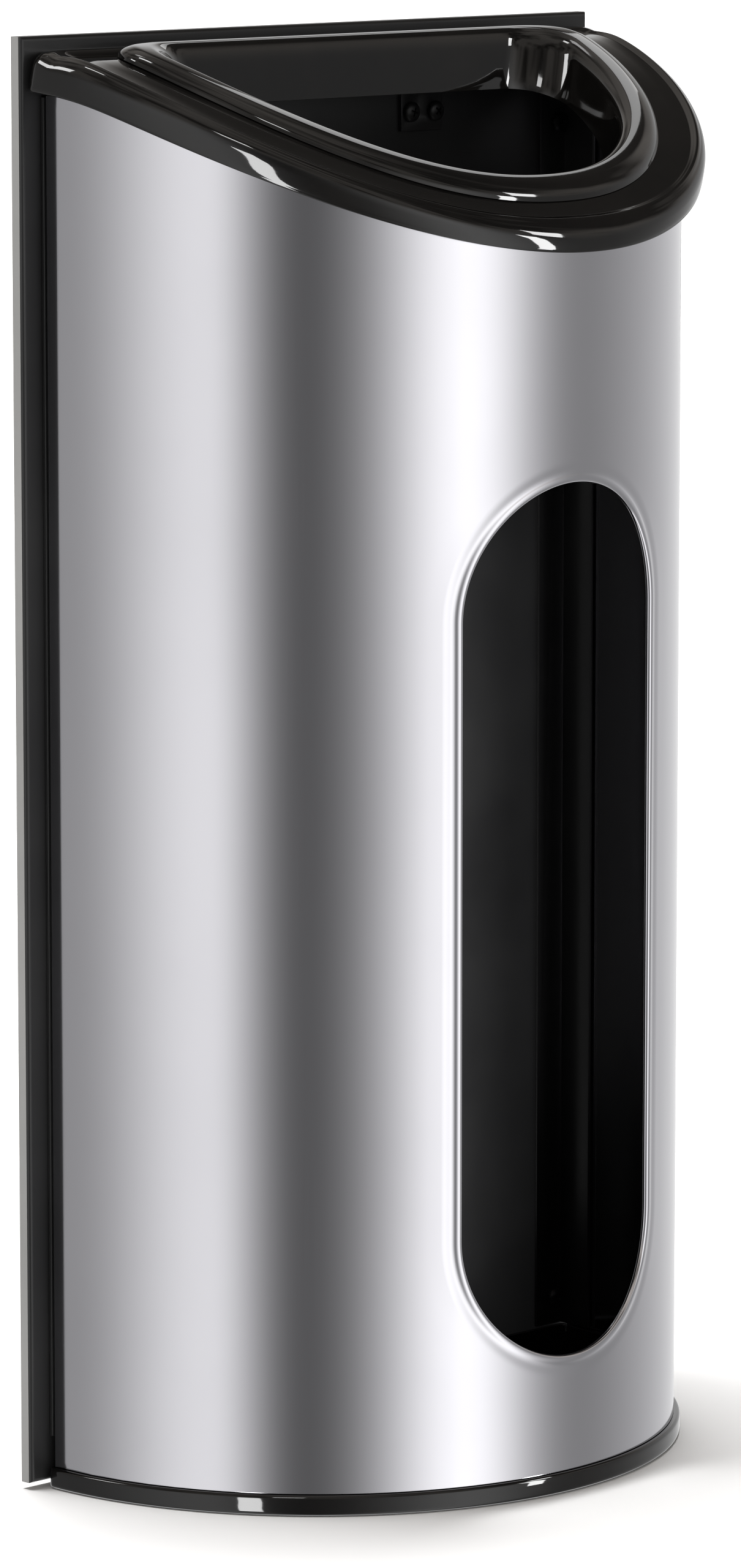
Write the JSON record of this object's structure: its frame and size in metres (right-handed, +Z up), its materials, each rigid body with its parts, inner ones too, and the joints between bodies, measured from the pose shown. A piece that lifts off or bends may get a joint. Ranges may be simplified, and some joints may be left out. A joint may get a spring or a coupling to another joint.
{
  "type": "wall ashtray bin",
  "caption": "Half-round wall bin: polished steel shell with a tall level window, black base tray and sloping hinged cover with an open throat.",
  "frame": {"origin": "middle of the upper wall bar's rear face, on the wall plane", "axes": "+Z up, -Y out of the wall towards the user, +X to the right of someone facing the bin"},
  "size_m": [0.321, 0.1668, 0.5912],
  "materials": {
    "gloss_black_plastic": "glossy moulded black plastic",
    "polished_stainless": "polished stainless steel sheet",
    "black_paint": "satin black powder coat",
    "zinc_plated_steel": "zinc-plated steel",
    "nickel_wire": "nickel-plated steel wire",
    "black_rubber": "matt extruded rubber"
  },
  "bodies": {
    "wall_frame": {"base_screw_left": "zinc_plated_steel", "base_screw_right": "zinc_plated_steel", "base_tray": "gloss_black_plastic", "body_shell": "polished_stainless", "edge_trim": "black_rubber", "front_ring_hook_left": "zinc_plated_steel", "front_ring_hook_right": "zinc_plated_steel", "hinge_bracket_left": "black_paint", "hinge_bracket_right": "black_paint", "hinge_pin_left": "zinc_plated_steel", "hinge_pin_right": "zinc_plated_steel", "hinge_screw_left_1": "zinc_plated_steel", "hinge_screw_left_2": "zinc_plated_steel", "hinge_screw_right_1": "zinc_plated_steel", "hinge_screw_right_2": "zinc_plated_steel", "hook_screw_left": "zinc_plated_steel", "hook_screw_right": "zinc_plated_steel", "left_angle_screw_1": "zinc_plated_steel", "left_angle_screw_2": "zinc_plated_steel", "left_angle_screw_3": "zinc_plated_steel", "left_shell_angle": "black_paint", "lower_wall_bar": "zinc_plated_steel", "rear_ring_hook_left": "zinc_plated_steel", "rear_ring_hook_right": "zinc_plated_steel", "right_angle_screw_1": "zinc_plated_steel", "right_angle_screw_2": "zinc_plated_steel", "right_angle_screw_3": "zinc_plated_steel", "right_shell_angle": "black_paint", "upper_wall_bar": "zinc_plated_steel", "wall_plate": "black_paint", "wall_screw_1": "zinc_plated_steel", "wall_screw_2": "zinc_plated_steel", "wall_screw_3": "zinc_plated_steel", "wall_screw_4": "zinc_plated_steel", "wall_washer_1": "zinc_plated_steel", "wall_washer_2": "zinc_plated_steel", "wall_washer_3": "zinc_plated_steel", "wall_washer_4": "zinc_plated_steel"},
    "cover": {"top_cover": "gloss_black_plastic", "throat_collar": "gloss_black_plastic", "collar_screw_1": "zinc_plated_steel", "collar_screw_2": "zinc_plated_steel", "collar_screw_3": "zinc_plated_steel", "collar_screw_4": "zinc_plated_steel", "collar_screw_5": "zinc_plated_steel", "collar_screw_6": "zinc_plated_steel"},
    "bag_ring": {"bag_ring": "nickel_wire"}
  },
  "joints": [
    {"name": "cover_hinge", "type": "hinge", "parent": "wall_frame", "child": "cover", "pos_m": [0, -0.0106, 0.0615], "axis": [-1, 0, 0], "range_deg": [0, 80]},
    {"name": "bag_ring_lift", "type": "slide", "parent": "wall_frame", "child": "bag_ring", "axis": [0, 0, 1], "range_m": [0, 0.022]}
  ]
}
